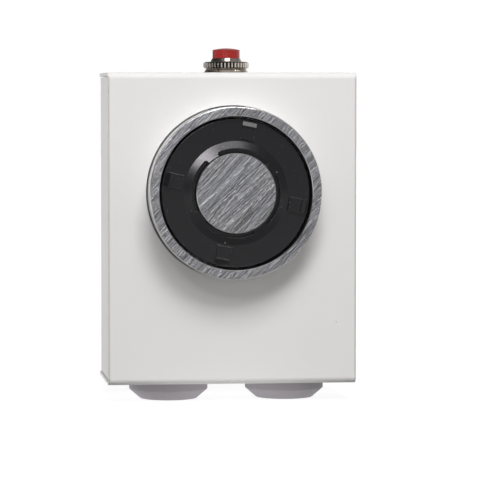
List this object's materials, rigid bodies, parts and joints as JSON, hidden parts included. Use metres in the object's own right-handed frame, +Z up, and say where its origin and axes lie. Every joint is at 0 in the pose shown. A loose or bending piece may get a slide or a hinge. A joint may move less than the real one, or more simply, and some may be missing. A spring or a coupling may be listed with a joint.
{
  "type": "electromagnetic door holder",
  "caption": "Wall-mounted electromagnetic door holder: white folded steel box with a round pot magnet in front, a red spring-return release button on top and rubber cable grommets below.",
  "frame": {"origin": "middle of the back plate's rear face, which lies on the wall, at mid height and mid width of the box", "axes": "+Z up, +Y into the wall, so the pole face looks towards -Y; +X to the right seen from the front"},
  "size_m": [0.08, 0.048, 0.114],
  "materials": {
    "white_powder_coat": "white powder coat with a fine orange peel",
    "ground_steel": "zinc-plated, pole faces ground in straight strokes",
    "zinc_steel": "bright zinc",
    "black_moulding": "black moulded plastic, slight sheen",
    "copper_wire": "enamelled copper winding",
    "nickel": "bright nickel plate",
    "red_plastic": "red moulded cap, semi-gloss",
    "grey_rubber": "soft grey elastomer, matt",
    "red_insulation": "red wire insulation",
    "black_insulation": "black wire insulation",
    "ivory_plastic": "natural moulded plastic",
    "brass": "plain brass",
    "diode_case": "black epoxy case",
    "spring_steel": "spring wire"
  },
  "bodies": {
    "housing": {"front_cover": "white_powder_coat", "back_plate": "white_powder_coat", "cover_screws": "zinc_steel", "cover_nuts": "zinc_steel", "magnet_pot": "ground_steel", "pole_core": "ground_steel", "coil_former": "black_moulding", "coil_winding": "copper_wire", "magnet_bracket": "zinc_steel", "bracket_rivets": "zinc_steel", "magnet_screw": "zinc_steel", "magnet_lock_washer": "spring_steel", "lead_bush": "black_moulding", "coil_lead_left": "red_insulation", "coil_lead_right": "black_insulation", "switch_lead_left": "red_insulation", "switch_lead_right": "red_insulation", "terminal_body": "ivory_plastic", "terminal_clamps": "brass", "terminal_screws": "zinc_steel", "terminal_mount_screws": "zinc_steel", "suppressor_diode": "diode_case", "return_spring": "spring_steel", "button_bush": "nickel", "button_nut": "nickel", "button_washer": "nickel", "switch_body": "black_moulding", "switch_terminal_left": "brass", "switch_terminal_right": "brass", "grommet_left": "grey_rubber", "grommet_right": "grey_rubber"},
    "push_button": {"button_cap": "red_plastic", "button_plunger": "brass", "moving_contact": "brass"}
  },
  "joints": [
    {"name": "button_press", "type": "slide", "parent": "housing", "child": "push_button", "axis": [0, 0, -1], "range_m": [0, 0.002], "stiffness_N_per_m": 600, "springref_m": -0.003, "deforming": ["return_spring"]}
  ]
}
